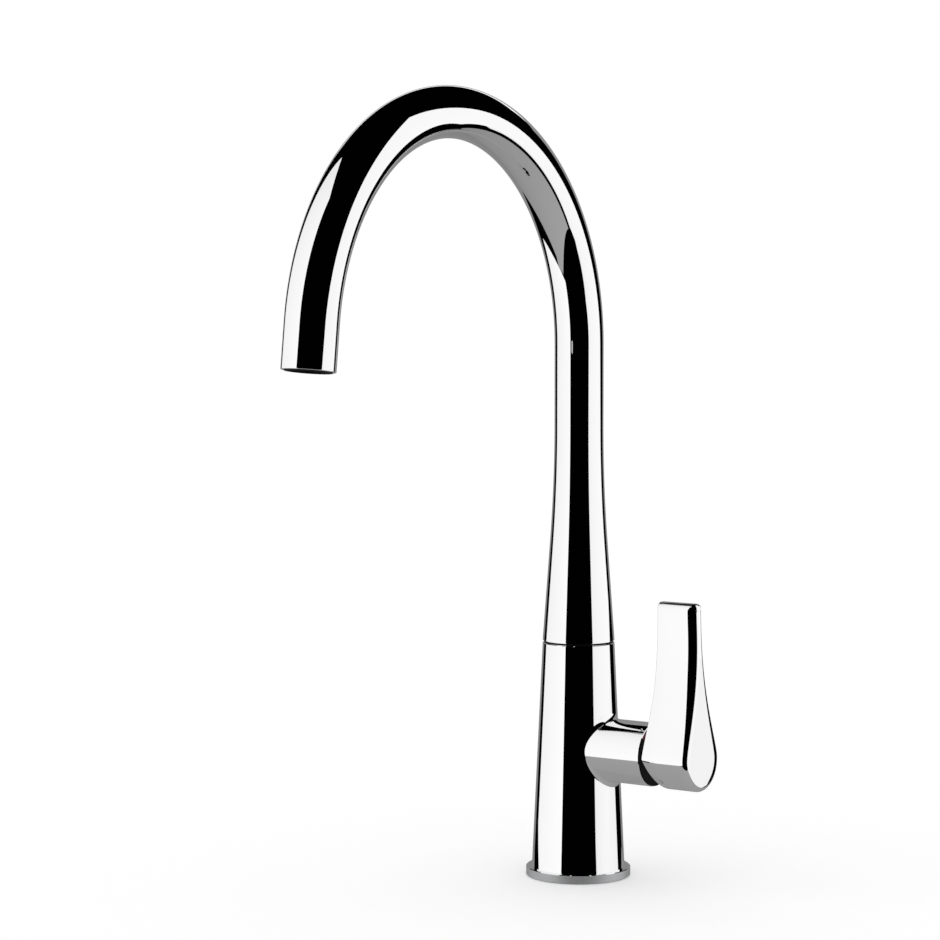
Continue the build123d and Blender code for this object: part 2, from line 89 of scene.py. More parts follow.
def makeChrome():
    material, tree = newMaterial("polishedChrome")
    place = addNode(tree, "ShaderNodeTexCoord").outputs["Object"]
    haze = addNode(tree, "ShaderNodeTexNoise", {
        "Vector": place, "Scale": 1 / (chrome["hazeSize"] * mm), "Detail": 3.0, "Roughness": 0.55,
    }).outputs["Fac"]
    colour = addNode(tree, "ShaderNodeMix", {
        "Factor": haze, 6: linearColour(chrome["tint"]), 7: linearColour(chrome["haze"]),
    }, data_type="RGBA")
    rough = addNode(tree, "ShaderNodeMapRange", {
        "Value": haze, "From Min": chrome["hazeRange"][0], "From Max": chrome["hazeRange"][1],
        "To Min": chrome["roughness"][0], "To Max": chrome["roughness"][1],
    }).outputs["Result"]
    shader = addNode(tree, "ShaderNodeBsdfPrincipled", {
        "Base Color": colour.outputs[2], "Metallic": 1.0, "Roughness": rough,
    })
    addNode(tree, "ShaderNodeOutputMaterial", {"Surface": shader.outputs[0]})
    return material


# Satin nickel, brushed on the lathe: fine rings of scratches blur the room into an even grey that is
# lighter at both ends, where the softboxes are.
satinNickel = {
    "light": "D9DADB",
    "dark": "BFC0C2",
    "roughness": (0.42, 0.54),
    "scratchPitch": 0.35,  # mm, drawn coarser than the real 0.05 so that it shows
    "stretch": 14.0,  # how many times longer a scratch runs round the ring than it is wide
    "metallic": 0.8,
    "bump": (0.12, 0.05),  # strength, and depth in mm
}


def makeSatinNickel():
    n = satinNickel
    material, tree = newMaterial("satinNickel")
    place = addNode(tree, "ShaderNodeTexCoord").outputs["Object"]
    turned = addNode(tree, "ShaderNodeMapping", {
        "Vector": place, "Scale": (1.0, 1.0, n["stretch"]),
    }).outputs[0]
    grain = addNode(tree, "ShaderNodeTexNoise", {
        "Vector": turned, "Scale": 1 / (n["scratchPitch"] * n["stretch"] * mm), "Detail": 4.0,
    }).outputs["Fac"]
    colour = addNode(tree, "ShaderNodeMix", {
        "Factor": grain, 6: linearColour(n["dark"]), 7: linearColour(n["light"]),
    }, data_type="RGBA")
    rough = addNode(tree, "ShaderNodeMapRange", {
        "Value": grain, "To Min": n["roughness"][0], "To Max": n["roughness"][1],
    }).outputs["Result"]
    bump = addNode(tree, "ShaderNodeBump", {
        "Height": grain, "Strength": n["bump"][0], "Distance": n["bump"][1] * mm,
    })
    shader = addNode(tree, "ShaderNodeBsdfPrincipled", {
        "Base Color": colour.outputs[2], "Metallic": n["metallic"], "Roughness": rough,
        "Normal": bump.outputs[0],
    })
    addNode(tree, "ShaderNodeOutputMaterial", {"Surface": shader.outputs[0]})
    return material


# The other finishes. Grain is the pattern's size in mm along the axes where stretch is highest, and it runs
# that many times longer where stretch is 1. Bump is its depth in mm. Real lathe marks, draw lines and mould
# tooth are about 0.02 to 0.2 mm, too fine to show, so those are drawn coarser.
grainStrength = 0.4
finishes = {
    # Turned brass: a warm yellow with fine lathe rings that catch the light
    "turnedBrass": {"colours": ("CDA95F", "A98443"), "roughness": (0.18, 0.34), "grain": 0.6,
                    "stretch": (1, 1, 9), "metallic": 1.0, "bump": 0.02, "specular": 0.5},
    # Stainless steel, drawn: a cool grey with faint lines along the bar
    "drawnStainless": {"colours": ("C2C2C0", "969694"), "roughness": (0.22, 0.36), "grain": 1.5,
                       "stretch": (6, 1, 6), "metallic": 1.0, "bump": 0.01, "specular": 0.5},
    # Zinc plate on rolled steel: pale, patchy and a little cloudy
    "zincPlate": {"colours": ("C9CCCF", "9A9EA2"), "roughness": (0.28, 0.5), "grain": 3.5,
                  "stretch": (1, 1, 1), "metallic": 1.0, "bump": 0.02, "specular": 0.5},
    # Moulded nitrile rubber: near black, dull, with the mould's fine tooth
    "nitrileRubber": {"colours": ("262626", "141414"), "roughness": (0.55, 0.72), "grain": 0.5,
                      "stretch": (1, 1, 1), "metallic": 0.0, "bump": 0.05, "specular": 0.3},
    # Black acetal: a turned engineering plastic with a waxy sheen. Its near-black is partly the index ring's
    # own colour and partly painted shade, so that the rings read as the shaded gap
    "blackAcetalGapShade": {"colours": ("131314", "08080A"), "roughness": (0.35, 0.5), "grain": 0.8,
                    "stretch": (5, 1, 1), "metallic": 0.0, "bump": 0.02, "specular": 0.05},
    # Glass-filled nylon of the cartridge: light grey with a speckle of fibres
    "filledNylon": {"colours": ("C4C3BE", "A3A29C"), "roughness": (0.4, 0.56), "grain": 0.5,
                    "stretch": (3, 1, 1), "metallic": 0.0, "bump": 0.03, "specular": 0.4},
    # Lapped alumina: a cream ceramic, close to polished
    "lappedAlumina": {"colours": ("F2EEE5", "E3DDD1"), "roughness": (0.1, 0.22), "grain": 1.2,
                      "stretch": (1, 1, 1), "metallic": 0.0, "bump": 0.0, "specular": 0.5},
    # Extruded polyethylene tube: a milky near-white with faint draw lines along it
    "extrudedPolyethylene": {"colours": ("F0F2F3", "DDE1E4"), "roughness": (0.32, 0.46), "grain": 1.0,
                             "stretch": (6, 6, 1), "metallic": 0.0, "bump": 0.02, "specular": 0.4},
    # Moulded dark acetal of the aerator: a deep grey, partly its own colour and partly painted shade, so the
    # outlet reads as the dark, shaded opening
    "darkAcetalOutletShade": {"colours": ("1A1A1B", "0E0E0F"), "roughness": (0.4, 0.55), "grain": 0.6,
                   "stretch": (1, 1, 1), "metallic": 0.0, "bump": 0.02, "specular": 0.08},
    # Moulded plastic inserts pressed into the index ring: a dull deep red for hot and a deep blue for cold
    "mouldedRed": {"colours": ("743642", "5C2833"), "roughness": (0.3, 0.42), "grain": 0.4,
                   "stretch": (1, 1, 1), "metallic": 0.0, "bump": 0.01, "specular": 0.1},
    "mouldedBlue": {"colours": ("1B3F7C", "142E5C"), "roughness": (0.3, 0.42), "grain": 0.4,
                    "stretch": (1, 1, 1), "metallic": 0.0, "bump": 0.01, "specular": 0.1},
    # Silver-filled plastic of the lever's plug: a soft metallic grey beside the chrome
    "silverPlastic": {"colours": ("BFC1C4", "9EA0A3"), "roughness": (0.28, 0.4), "grain": 0.3,
                      "stretch": (1, 1, 1), "metallic": 0.5, "bump": 0.01, "specular": 0.5},
}


def makeFinish(name):
    f = finishes[name]
    material, tree = newMaterial(name)
    place = addNode(tree, "ShaderNodeTexCoord").outputs["Object"]
    drawn = addNode(tree, "ShaderNodeMapping", {"Vector": place, "Scale": f["stretch"]}).outputs[0]
    grain = addNode(tree, "ShaderNodeTexNoise", {
        "Vector": drawn, "Scale": 1 / (f["grain"] * max(f["stretch"]) * mm), "Detail": 4.0,
    }).outputs["Fac"]
    light, dark = f["colours"]
    colour = addNode(tree, "ShaderNodeMix", {
        "Factor": grain, 6: linearColour(dark), 7: linearColour(light),
    }, data_type="RGBA")
    rough = addNode(tree, "ShaderNodeMapRange", {
        "Value": grain, "To Min": f["roughness"][0], "To Max": f["roughness"][1],
    }).outputs["Result"]
    bump = addNode(tree, "ShaderNodeBump", {
        "Height": grain, "Strength": grainStrength, "Distance": f["bump"] * mm,
    })
    shader = addNode(tree, "ShaderNodeBsdfPrincipled", {
        "Base Color": colour.outputs[2], "Metallic": f["metallic"], "Roughness": rough,
        "Specular IOR Level": f["specular"], "Normal": bump.outputs[0],
    })
    addNode(tree, "ShaderNodeOutputMaterial", {"Surface": shader.outputs[0]})
    return material


chromeMaterial = makeChrome()
nickelMaterial = makeSatinNickel()
finishMaterials = {name: makeFinish(name) for name in finishes}
print("materials made")


def newPiece():
    bm = bmesh.new()
    bm.verts.layers.float_vector.new("exact")  # the true surface normal at a vertex, where it has one
    return bm


def isKnown(normal):  # a true normal has a length of 1, and one that isn't known has 0
    return normal.length > 0.5


def finishPiece(bm, name, bodyName, material, replaced=(), sharp=30.0):
    layer = bm.verts.layers.float_vector["exact"]
    bmesh.ops.remove_doubles(bm, verts=bm.verts, dist=mergeDistance)
    bmesh.ops.dissolve_degenerate(bm, edges=bm.edges, dist=mergeDistance)
    bmesh.ops.recalc_face_normals(bm, faces=bm.faces)
    bm.verts.index_update()
    exact = [v[layer].copy() for v in bm.verts]
    bm.verts.layers.float_vector.remove(layer)
    bmesh.ops.scale(bm, vec=(mm, mm, mm), verts=bm.verts)
    mesh = bpy.data.meshes.new(name)
    bm.to_mesh(mesh)
    bm.free()
    for face in mesh.polygons:
        face.use_smooth = True
    mesh.set_sharp_from_angle(angle=radians(sharp))
    if any(isKnown(n) for n in exact):
        corners = [Vector(c.vector) for c in mesh.corner_normals]
        for face in mesh.polygons:
            for i in face.loop_indices:
                true = exact[mesh.loops[i].vertex_index]
                if isKnown(true) and abs(true.dot(face.normal)) > cos(radians(trueWithin)):
                    corners[i] = true if true.dot(face.normal) > 0 else -true
        mesh.normals_split_custom_set(corners)
    mesh.materials.append(material)
    piece = bpy.data.objects.new(name, mesh)
    bpy.context.scene.collection.objects.link(piece)
    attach(piece, bodyName)
    if replaced:
        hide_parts(*replaced)
    print("piece:", name, len(mesh.polygons), "faces")
    return piece


def chain(bm, points, normals):  # an open line of vertices through points, each with its true normal
    layer = bm.verts.layers.float_vector["exact"]
    made = []
    for point, normal in zip(points, normals):
        vert = bm.verts.new(point)
        vert[layer] = normal
        made.append(vert)
    return [bm.edges.new(pair) for pair in zip(made, made[1:])]


def ringAt(bm, test):  # the edges whose two ends both pass the test
    return [e for e in bm.edges if all(test(v.co) for v in e.verts)]


def pushRing(bm, edges):  # a new ring extruded from an open one, still in the same place
    made = bmesh.ops.extrude_edge_only(bm, edges=edges)["geom"]
    return [g for g in made if isinstance(g, bmesh.types.BMEdge) and len(g.link_faces) == 1]


def ringVerts(edges):  # each vertex once, in the edges' order, so that every run builds the same mesh
    return list(dict.fromkeys(v for e in edges for v in e.verts))


def spinTrue(bm, edges, centre, axis, angle, steps, full):  # a spin whose true normals turn with it
    layer = bm.verts.layers.float_vector["exact"]
    verts = ringVerts(edges)
    known = set(bm.verts)
    made = bmesh.ops.spin(bm, geom=edges + verts, cent=centre, axis=axis, angle=angle, steps=steps,
                          use_merge=full)
    new = [v for v in bm.verts if v not in known]
    axis = Vector(axis)
    for i, vert in enumerate(new):  # spin copies the vertex's layer, so it only has to be turned
        source = vert[layer].copy()
        if isKnown(source):
            step = i // len(verts) + 1
            vert[layer] = Matrix.Rotation(angle * step / steps, 3, axis) @ source
    return [g for g in made["geom_last"] if isinstance(g, bmesh.types.BMEdge)]


def shiftRing(bm, edges, by):
    edges = pushRing(bm, edges)
    bmesh.ops.translate(bm, vec=by, verts=ringVerts(edges))
    return edges


def resizeRing(bm, edges, centre, axis, radius, along):
    layer = bm.verts.layers.float_vector["exact"]
    edges = pushRing(bm, edges)
    for vert in ringVerts(edges):
        away = vert.co - centre
        away -= axis * away.dot(axis)
        away.normalize()
        vert.co = centre + away * radius + axis * along
        vert[layer] = (0, 0, 0)
    return edges


def spinHoop(bm, rows, sides):  # a closed section, as radius and height, spun right round Z
    section = [(r, 0, z) for r, z in rows + rows[:1]]
    line = chain(bm, section, [(0, 0, 0)] * len(section))
    spinTrue(bm, line, (0, 0, 0), (0, 0, 1), 2 * pi, sides, True)


# Spout: a flare that draws in to an even tube, bent over in one arc to a short straight end.
spout = {
    "footHeight": 117.45,
    "footRadius": 17.85,
    "footEdge": 0.35,
    "slope": 0.0726,  # drop in radius over the straight part of the flare, for each mm of height
    "taperLength": 50.9,
    "blendLength": 56.6,
    "tubeRadius": 12.1,
    "boreRadius": 10.8,
    "footBore": 13.7,
    "bendHeight": 264.4,
    "bendRadius": 108.4,
    "bendDegrees": 173.0,
    "outletLength": 21.2,
    "rimEdge": 0.4,
    "sides": 160,
    "bendSteps": 150,
    "boreSteps": 50,
    "blendRows": 28,
    "edgeSteps": 5,
    "seamReach": 0.01,  # mm, within which the bore's last ring lies at the foot's inner edge
    "seamMerge": 0.05,  # mm, far less than the ring's spacing
}


def spoutOutflow():
    turn = radians(spout["bendDegrees"])
    return Vector((0, -sin(turn), cos(turn)))


def spoutBendPoint(turn):  # the tube's centre after that turn of the bend, in radians
    s = spout
    return Vector((0, -s["bendRadius"] * (1 - cos(turn)), s["bendHeight"] + s["bendRadius"] * sin(turn)))


def makeSpout():
    bm = newPiece()
    layer = bm.verts.layers.float_vector["exact"]
    s = spout
    lean = atan2(s["slope"], 1)
    taperTop = s["footHeight"] + s["taperLength"]
    rows = [(s["footBore"], s["footHeight"], (0, 0, -1)),
            (s["footRadius"] - s["footEdge"], s["footHeight"], (0, 0, -1)),
            (s["footRadius"], s["footHeight"] + s["footEdge"], (cos(lean), 0, sin(lean)))]
    taperRadius = s["footRadius"] - s["slope"] * s["taperLength"]
    rows.append((taperRadius, taperTop, (cos(lean), 0, sin(lean))))
    for i in range(1, s["blendRows"] + 1):
        share = i / s["blendRows"]
        rise = s["blendLength"] * share
        angle = lean * (1 - share)
        fall = taperRadius - s["tubeRadius"]
        radius = s["tubeRadius"] + fall * (1 - share) ** 2
        rows.append((radius, taperTop + rise, (cos(angle), 0, sin(angle))))
    rows.append((s["tubeRadius"], s["bendHeight"], (1, 0, 0)))
    line = chain(bm, [(r, 0, z) for r, z, n in rows], [n for r, z, n in rows])
    spinTrue(bm, line, (0, 0, 0), (0, 0, 1), 2 * pi, s["sides"], True)
    top = ringAt(bm, lambda co: abs(co.z - s["bendHeight"]) < onPlane)
    turn = radians(s["bendDegrees"])
    centre = Vector((0, -s["bendRadius"], s["bendHeight"]))
    top = spinTrue(bm, top, centre, (1, 0, 0), turn, s["bendSteps"], False)
    flow = spoutOutflow()
    end = spoutBendPoint(turn)
    top = shiftRing(bm, top, flow * (s["outletLength"] - s["rimEdge"]))
    outlet = end + flow * s["outletLength"]
    for i in range(1, s["edgeSteps"] + 1):
        angle = pi / 2 * i / s["edgeSteps"]
        radius = s["tubeRadius"] - s["rimEdge"] * (1 - cos(angle))
        top = pushRing(bm, top)
        for vert in ringVerts(top):
            away = vert.co - outlet
            away -= flow * away.dot(flow)
            away.normalize()
            vert.co = outlet + away * radius - flow * s["rimEdge"] * (1 - sin(angle))
            vert[layer] = away * cos(angle) + flow * sin(angle)
    top = resizeRing(bm, top, outlet, flow, s["boreRadius"], 0)
    top = resizeRing(bm, top, outlet, flow, s["boreRadius"], -s["outletLength"])
    top = spinTrue(bm, top, centre, (1, 0, 0), -turn, s["boreSteps"], False)
    top = shiftRing(bm, top, Vector((0, 0, taperTop - s["bendHeight"])))
    top = pushRing(bm, top)
    for vert in ringVerts(top):
        away = Vector((vert.co.x, vert.co.y, 0)).normalized()
        vert.co = away * s["footBore"] + Vector((0, 0, s["footHeight"]))
        vert[layer] = (0, 0, 0)
    seam = [v for v in bm.verts if abs(v.co.z - s["footHeight"]) < s["seamReach"]
            and abs(hypot(v.co.x, v.co.y) - s["footBore"]) < s["seamReach"]]
    # The bore comes back a little off, after two bends, so its last ring is merged with the foot's
    bmesh.ops.remove_doubles(bm, verts=seam, dist=s["seamMerge"])
    finishPiece(bm, "spoutShell", "spout", chromeMaterial, ["spout"])


makeSpout()


# Body: a cone with a round barrel on its side, in one casting with a soft fillet between them.
body = {
    "bossRadius": 15.5,
    "bossHeight": 0.5,
    "footHeight": 4.4,
    "footRadius": 23.1,
    "topHeight": 116.65,
    "topRadius": 17.85,
    "topEdge": 0.35,
    "socketRadius": 13.0,  # the spigot's socket, with the inner tube's seat and its seal's groove under it
    "socketFloor": 87.0,
    "seatRadius": 3.1,
    "seatFloor": 79.5,
    "grooveRadius": 4.7,
    "groove": (82.15, 83.85),
    "barrelHeight": 64.1,
    "barrelRadius": 15.57,
    "barrelEnd": 44.01,
    "barrelEdge": 0.3,
    "nutRadius": 14.0,  # the cartridge's pocket along the barrel, wider where its nut screws in
    "nutFloor": 38.5,
    "pocketRadius": 12.6,
    "pocketFloor": 15.9,
    "fillet": 3.0,
    "sides": 256,
    "windowSides": 44,  # of the cone's sides, to each side of the barrel, that the barrel's root takes up
    "windowHalf": 24.0,
    "windowStep": 0.75,
    "stopHeight": 101.0,
    "stopRadius": 2.5,
    "stopDepth": 3.0,
    "stopWindow": 4.0,
    "stopStep": 0.5,
    "stud": (10.4, 4.0),  # where the stud's hole is along X, and its radius
    "inlets": ((0.5, -5.9), (0.5, 5.9), (-9.5, 0)),
    "inletRadius": 4.5,
    "holeDepth": 12.0,
    "holeSides": 48,
    "lowRows": 6,  # of the cone below the barrel's root
    "highRows": 3,  # and above the stop screw
    "stopSteps": 5,  # rings on the cone from a window's edge to the stop screw's hole
    "rootSteps": 7,  # and to the barrel's root
    "filletSteps": 9,
    "barrelMiddle": 30.0,  # one more ring along it
}


def coneRadius(z):
    b = body
    high = b["topHeight"] - b["topEdge"]
    fall = b["topRadius"] - b["footRadius"]
    return b["footRadius"] + fall * (z - b["footHeight"]) / (high - b["footHeight"])


def coneLean():  # how far the cone's side leans in, in radians
    b = body
    return atan2((b["footRadius"] - b["topRadius"]) / (b["topHeight"] - b["topEdge"] - b["footHeight"]), 1)


# The fillet's ball as it rolls round the barrel: its centre, where it touches the cone, and the way out there
def barrelRoot(turn):
    b = body
    lean = coneLean()
    reach = b["barrelRadius"] + b["fillet"]
    y, z = reach * cos(turn), b["barrelHeight"] + reach * sin(turn)
    zTouch = z - b["fillet"] * sin(lean)
    rTouch = coneRadius(zTouch)
    rCentre = rTouch + b["fillet"] * cos(lean)
    x = sqrt(rCentre ** 2 - y ** 2)
    around = atan2(y, x)
    normal = Vector((cos(lean) * cos(around), cos(lean) * sin(around), sin(lean)))
    return Vector((x, y, z)), Vector((rTouch * cos(around), rTouch * sin(around), zTouch)), normal


def drillUnderside(bm):  # the boss's flat end, with blind holes for the stud and the three hoses
    b = body
    rim = ringAt(bm, lambda co: abs(co.z - b["bossHeight"]) < onPlane)
    holes = [((b["stud"][0], 0), b["stud"][1])] + [(place, b["inletRadius"]) for place in b["inlets"]]
    mouths = []
    for (x, y), radius in holes:
        made = bmesh.ops.create_circle(bm, segments=b["holeSides"], radius=radius,
                                       matrix=Matrix.Translation((x, y, b["bossHeight"])))
        mouths.append(list(dict.fromkeys(e for v in made["verts"] for e in v.link_edges)))
    edges = rim + [e for mouth in mouths for e in mouth]
    bmesh.ops.triangle_fill(bm, use_beauty=True, use_dissolve=False, edges=edges)
    for ring in mouths:
        ring = shiftRing(bm, ring, (0, 0, b["holeDepth"]))
        bmesh.ops.contextual_create(bm, geom=ring)


def makeBody():
    bm = newPiece()
    layer = bm.verts.layers.float_vector["exact"]
    b = body
    high = b["topHeight"] - b["topEdge"]
    lean = coneLean()
    side = (cos(lean), 0, sin(lean))
    rows = [(b["bossRadius"], b["bossHeight"], (0, 0, 0)), (b["bossRadius"], b["footHeight"], (0, 0, 0)),
            (b["footRadius"], b["footHeight"], side)]
    low = b["barrelHeight"] - b["windowHalf"]
    windowTop = b["barrelHeight"] + b["windowHalf"]
    spaced = [b["footHeight"] + (low - b["footHeight"]) * i / b["lowRows"] for i in range(1, b["lowRows"])]
    count = round(2 * b["windowHalf"] / b["windowStep"])
    spaced += [low + b["windowStep"] * i for i in range(count + 1)]
    stopLow, stopHigh = b["stopHeight"] - b["stopWindow"], b["stopHeight"] + b["stopWindow"]
    count = round(2 * b["stopWindow"] / b["stopStep"])
    spaced += [stopLow + b["stopStep"] * i for i in range(count + 1)]
    spaced += [stopHigh + (high - stopHigh) * i / b["highRows"] for i in range(1, b["highRows"] + 1)]
    rows += [(coneRadius(z), z, side) for z in spaced]
    rows += [(b["topRadius"] - b["topEdge"], b["topHeight"], (0, 0, 1)),
             (b["socketRadius"], b["topHeight"], (0, 0, 1))]
    grooveLow, grooveHigh = b["groove"]
    inside = [(b["socketRadius"], b["socketFloor"]), (b["seatRadius"], b["socketFloor"]),
              (b["seatRadius"], grooveHigh), (b["grooveRadius"], grooveHigh), (b["grooveRadius"], grooveLow),
              (b["seatRadius"], grooveLow), (b["seatRadius"], b["seatFloor"]), (0, b["seatFloor"])]
    rows += [(r, z, (0, 0, 0)) for r, z in inside]
    line = chain(bm, [(r, 0, z) for r, z, n in rows], [n for r, z, n in rows])
    spinTrue(bm, line, (0, 0, 0), (0, 0, 1), 2 * pi, b["sides"], True)
    bmesh.ops.remove_doubles(bm, verts=bm.verts, dist=mergeDistance)
    drillUnderside(bm)
    turns = {}

    def openWindow(middle, window, bottom, top):  # the cone's faces go, and the edge's points get their turns
        gone = []
        for face in bm.faces:
            mid = face.calc_center_median()
            around = atan2(mid.y, mid.x) - middle
            if bottom < mid.z < top and hypot(mid.x, mid.y) > b["bossRadius"] and abs(around) < window:
                gone.append(face)
        bmesh.ops.delete(bm, geom=gone, context="FACES")
        ring = [e for e in bm.edges if len(e.link_faces) == 1]
        height = (bottom + top) / 2
        for vert in ringVerts(ring):
            around = atan2(vert.co.y, vert.co.x)
            turn = atan2(vert.co.z - height, (around - middle) * coneRadius(height))
            turns[vert] = (turn, around, vert.co.z)
        return ring

    def nextRing(edges, placeAt):
        old = {v.co.copy().freeze(): turns[v] for v in ringVerts(edges)}
        edges = pushRing(bm, edges)
        for vert in ringVerts(edges):
            turns[vert] = old[vert.co.copy().freeze()]
        for vert in ringVerts(edges):
            vert.co, vert[layer] = placeAt(*turns[vert])
        return edges

    def ontoCone(ring, steps, target):  # rings across the cone, from the window's edge to the target's
        for i in range(1, steps + 1):
            share = i / steps

            def onCone(turn, around, z):
                goalAround, goalZ = target(turn)
                toAround, toZ = around + (goalAround - around) * share, z + (goalZ - z) * share
                r = coneRadius(toZ)
                true = Vector((cos(lean) * cos(toAround), cos(lean) * sin(toAround), sin(lean)))
                return Vector((r * cos(toAround), r * sin(toAround), toZ)), true

            ring = nextRing(ring, onCone)
        return ring

    def stopEdge(turn):
        z = b["stopHeight"] + b["stopRadius"] * sin(turn)
        return pi / 2 + asin(b["stopRadius"] * cos(turn) / coneRadius(z)), z

    ring = openWindow(pi / 2, b["stopWindow"] / coneRadius(b["stopHeight"]), stopLow, stopHigh)
    ring = ontoCone(ring, b["stopSteps"], stopEdge)

    def stopWall(turn, around, z):
        x, z = -b["stopRadius"] * cos(turn), b["stopHeight"] + b["stopRadius"] * sin(turn)
        return Vector((x, sqrt(coneRadius(z) ** 2 - x ** 2) - b["stopDepth"], z)), Vector((0, 0, 0))

    ring = nextRing(ring, stopWall)
    bmesh.ops.contextual_create(bm, geom=ring)

    def rootEdge(turn):
        touch = barrelRoot(turn)[1]
        return atan2(touch.y, touch.x), touch.z

    ring = openWindow(0, radians(360 / b["sides"] * b["windowSides"]), low, windowTop)
    ring = ontoCone(ring, b["rootSteps"], rootEdge)
    for i in range(1, b["filletSteps"] + 1):
        share = i / b["filletSteps"]

        def onFillet(turn, around, z):
            centre, touch, normal = barrelRoot(turn)
            barrelWay = Vector((0, cos(turn), sin(turn)))
            way = normal.slerp(barrelWay, share)
            return centre - way * b["fillet"], way

        ring = nextRing(ring, onFillet)

    def onBarrel(radius, x, smooth=False):  # round the barrel's axis, with true normals where it is smooth
        def place(turn, around, z):
            point = Vector((x, radius * cos(turn), b["barrelHeight"] + radius * sin(turn)))
            return point, Vector((0, cos(turn), sin(turn))) if smooth else Vector((0, 0, 0))
        return place

    ring = nextRing(ring, onBarrel(b["barrelRadius"], b["barrelMiddle"], True))
    ring = nextRing(ring, onBarrel(b["barrelRadius"], b["barrelEnd"] - b["barrelEdge"], True))
    for radius, x in ((b["barrelRadius"] - b["barrelEdge"], b["barrelEnd"]), (b["nutRadius"], b["barrelEnd"]),
                      (b["nutRadius"], b["nutFloor"]), (b["pocketRadius"], b["nutFloor"]),
                      (b["pocketRadius"], b["pocketFloor"])):
        ring = nextRing(ring, onBarrel(radius, x))
    bmesh.ops.contextual_create(bm, geom=ring)
    finishPiece(bm, "bodyShell", "tap_body", chromeMaterial, ["body"])


makeBody()


# Lever: a round hub drawn up into a narrow blade, undercut below the hub and rounded on its outer edges.
lever = {
    "axisHeight": 64.1,
    "inner": 45.81,
    "length": 25.5,
    "hubRadius": 15.8,
    "hubPull": 7.0,
    "waistRise": 62.0,
    "waistPull": 32.3,
    "bladeHalf": 4.0,
    "topRise": 75.7,
    "topCorner": 3.2,
    "setback": 1.8,
    "setbackRise": 31.6,
    "lean": 2.0,  # degrees
    "relief": 27.0,  # degrees of the undercut
    "hubRound": (3.0, 3.0),  # of the outer edge along the barrel and across it, at the hub
    "bladeRound": (5.8, 3.1),  # and on the blade
    "topRound": (2.0, 1.6),  # and over the top
    "innerRound": 0.4,
    "bladeFrom": 45.0,  # how high above the axis the edge has the blade's rounding in full
    "fanSteps": 40,
    "sideSteps": 64,
    "straightSteps": 6,
    "cornerSteps": 20,
    "topSteps": 2,
    "flatSteps": 5,
    "roundSteps": 14,
    "wallSteps": 3,
    "lipSteps": 3,
    "backSteps": 4,
    "nudge": 0.001,  # along the side curve, to find its way
}


def leverSide(t):  # the side curve's half width and rise
    l = lever
    a, b, c, d = (1 - t) ** 3, 3 * t * (1 - t) ** 2, 3 * t * t * (1 - t), t ** 3
    half = a * l["hubRadius"] + b * l["hubRadius"] + c * l["bladeHalf"] + d * l["bladeHalf"]
    rise = b * l["hubPull"] + c * (l["waistRise"] - l["waistPull"]) + d * l["waistRise"]
    return half, rise


# Each rib: its start on the middle line, its edge, the way out there, and 0 for hub, 1 for blade, 2 for top
def leverRibs():
    l = lever
    ribs = []
    for i in range(l["fanSteps"]):
        way = Vector((sin(pi / 2 * i / l["fanSteps"]), -cos(pi / 2 * i / l["fanSteps"])))
        ribs.append(((0, 0), way * l["hubRadius"], way, 0.0))
    for i in range(l["sideSteps"] + 1):
        t = i / l["sideSteps"]
        half, rise = leverSide(t)
        ahead, behind = leverSide(min(1, t + l["nudge"])), leverSide(max(0, t - l["nudge"]))
        way = Vector((ahead[1] - behind[1], behind[0] - ahead[0])).normalized()
        blade = min(1, rise / l["bladeFrom"])
        ribs.append(((0, rise), (half, rise), way, blade * blade * (3 - 2 * blade)))
    corner = l["topCorner"]
    high = l["topRise"] - corner
    middle = (0, l["topRise"] - l["bladeHalf"])
    for i in range(1, l["straightSteps"]):
        rise = l["waistRise"] + (high - l["waistRise"]) * i / l["straightSteps"]
        ribs.append(((0, min(rise, middle[1])), (l["bladeHalf"], rise), (1, 0), 1.0))
    steps = l["cornerSteps"]
    for i in range(steps + 1):
        way = Vector((cos(pi / 2 * i / steps), sin(pi / 2 * i / steps)))
        edge = Vector((l["bladeHalf"] - corner, high)) + way * corner
        ribs.append((middle, edge, way, 1.0 + i / steps))
    for i in range(1, l["topSteps"] + 1):
        half = (l["bladeHalf"] - corner) * (1 - i / l["topSteps"])
        ribs.append((middle, (half, l["topRise"]), (0, 1), 2.0))
    return ribs


def leverOuter(rise):
    l = lever
    return l["inner"] + l["length"] - tan(radians(l["lean"])) * rise


def leverInner(rise):
    l = lever
    if rise < 0:
        return l["inner"] - rise * tan(radians(l["relief"]))
    return l["inner"] + l["setback"] * min(1, rise / l["setbackRise"])


def leverRib(start, edge, way, kind):
    l = lever
    if kind <= 1:
        along, across = [h + (b - h) * kind for h, b in zip(l["hubRound"], l["bladeRound"])]
    else:
        along, across = [b + (t - b) * (kind - 1) for b, t in zip(l["bladeRound"], l["topRound"])]
    start, edge, way = Vector(start), Vector(edge), Vector(way)
    points = []

    def put(at, x):
        points.append((x, at.x, l["axisHeight"] + at.y))

    shoulder = edge - way * across
    for i in range(l["flatSteps"]):
        at = start.lerp(shoulder, i / l["flatSteps"])
        put(at, leverOuter(at.y))
    for i in range(l["roundSteps"] + 1):
        turn = pi / 2 * i / l["roundSteps"]
        at = edge - way * across * (1 - sin(turn))
        put(at, leverOuter(at.y) - along * (1 - cos(turn)))
    low = leverInner(edge.y)
    highX = leverOuter(edge.y) - along
    for i in range(1, l["wallSteps"] + 1):
        put(edge, highX + (low + l["innerRound"] - highX) * i / l["wallSteps"])
    for i in range(1, l["lipSteps"] + 1):
        turn = pi / 2 * i / l["lipSteps"]
        at = edge - way * l["innerRound"] * (1 - cos(turn))
        put(at, leverInner(at.y) + l["innerRound"] * (1 - sin(turn)))
    lip = edge - way * l["innerRound"]
    for i in range(1, l["backSteps"] + 1):
        at = lip.lerp(start, i / l["backSteps"])
        put(at, leverInner(at.y))
    return points


